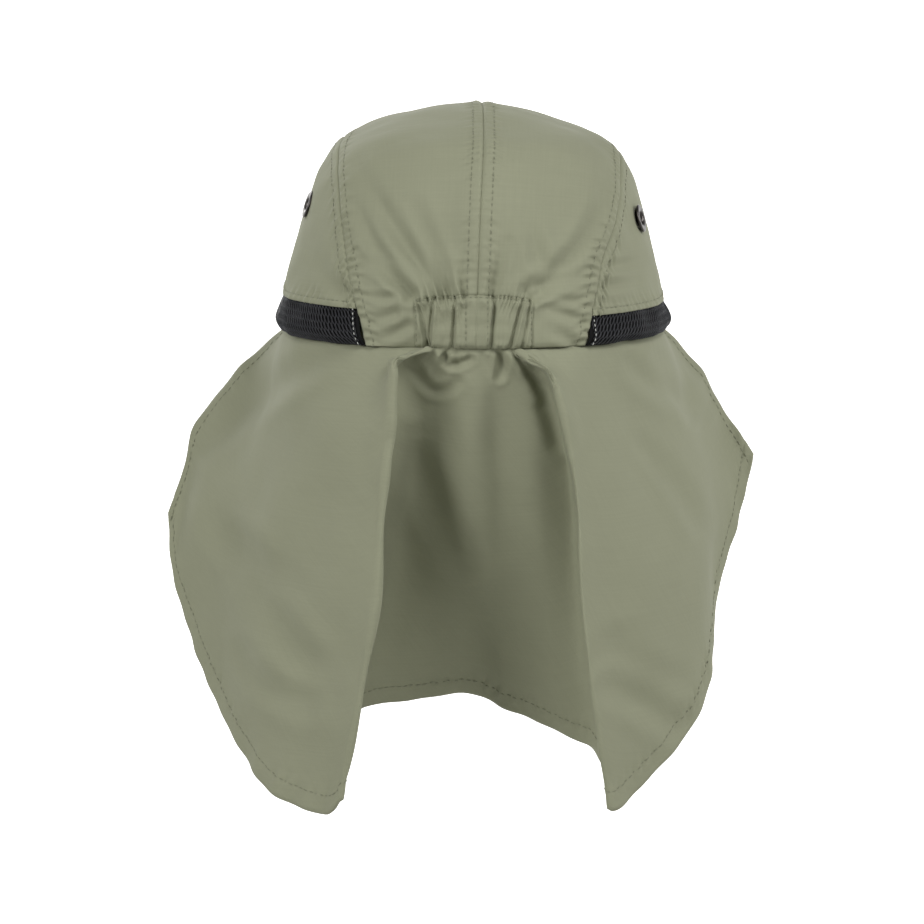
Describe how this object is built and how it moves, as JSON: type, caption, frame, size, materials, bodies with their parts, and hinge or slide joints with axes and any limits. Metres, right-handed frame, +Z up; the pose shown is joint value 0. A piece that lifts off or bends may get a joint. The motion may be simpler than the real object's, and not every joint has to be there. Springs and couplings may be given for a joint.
{
  "type": "legionnaire cap",
  "caption": "Cloth cap with a panelled crown, mesh side bands, a gathered elastic back, a front peak and a long flap that shades the neck and ears.",
  "frame": {"origin": "middle of the head opening, level with the rim, where the cap sits on a head", "axes": "+Z up, the peak to -Y, the gathered back to +Y, the wearer's left to +X"},
  "size_m": [0.2708, 0.2891, 0.2996],
  "materials": {
    "crown_cloth": "olive khaki woven nylon, matt, with topstitched seams",
    "casing_cloth": "olive khaki woven nylon gathered over elastic",
    "black_mesh": "black open knitted mesh over a black backing",
    "eyelet_metal": "dark gunmetal, satin",
    "flap_cloth": "olive khaki woven nylon, matt, with a stitched hem",
    "peak_cloth": "olive khaki woven nylon over a stiff board, with stitched rows"
  },
  "bodies": {
    "root": {"crown_left_centre": "crown_cloth", "crown_right_centre": "crown_cloth", "crown_left_side": "crown_cloth", "crown_right_side": "crown_cloth", "elastic_casing": "casing_cloth", "mesh_band_left": "black_mesh", "mesh_band_right": "black_mesh", "eyelet_left": "eyelet_metal", "eyelet_right": "eyelet_metal", "neck_flap": "flap_cloth", "peak": "peak_cloth"}
  },
  "joints": []
}
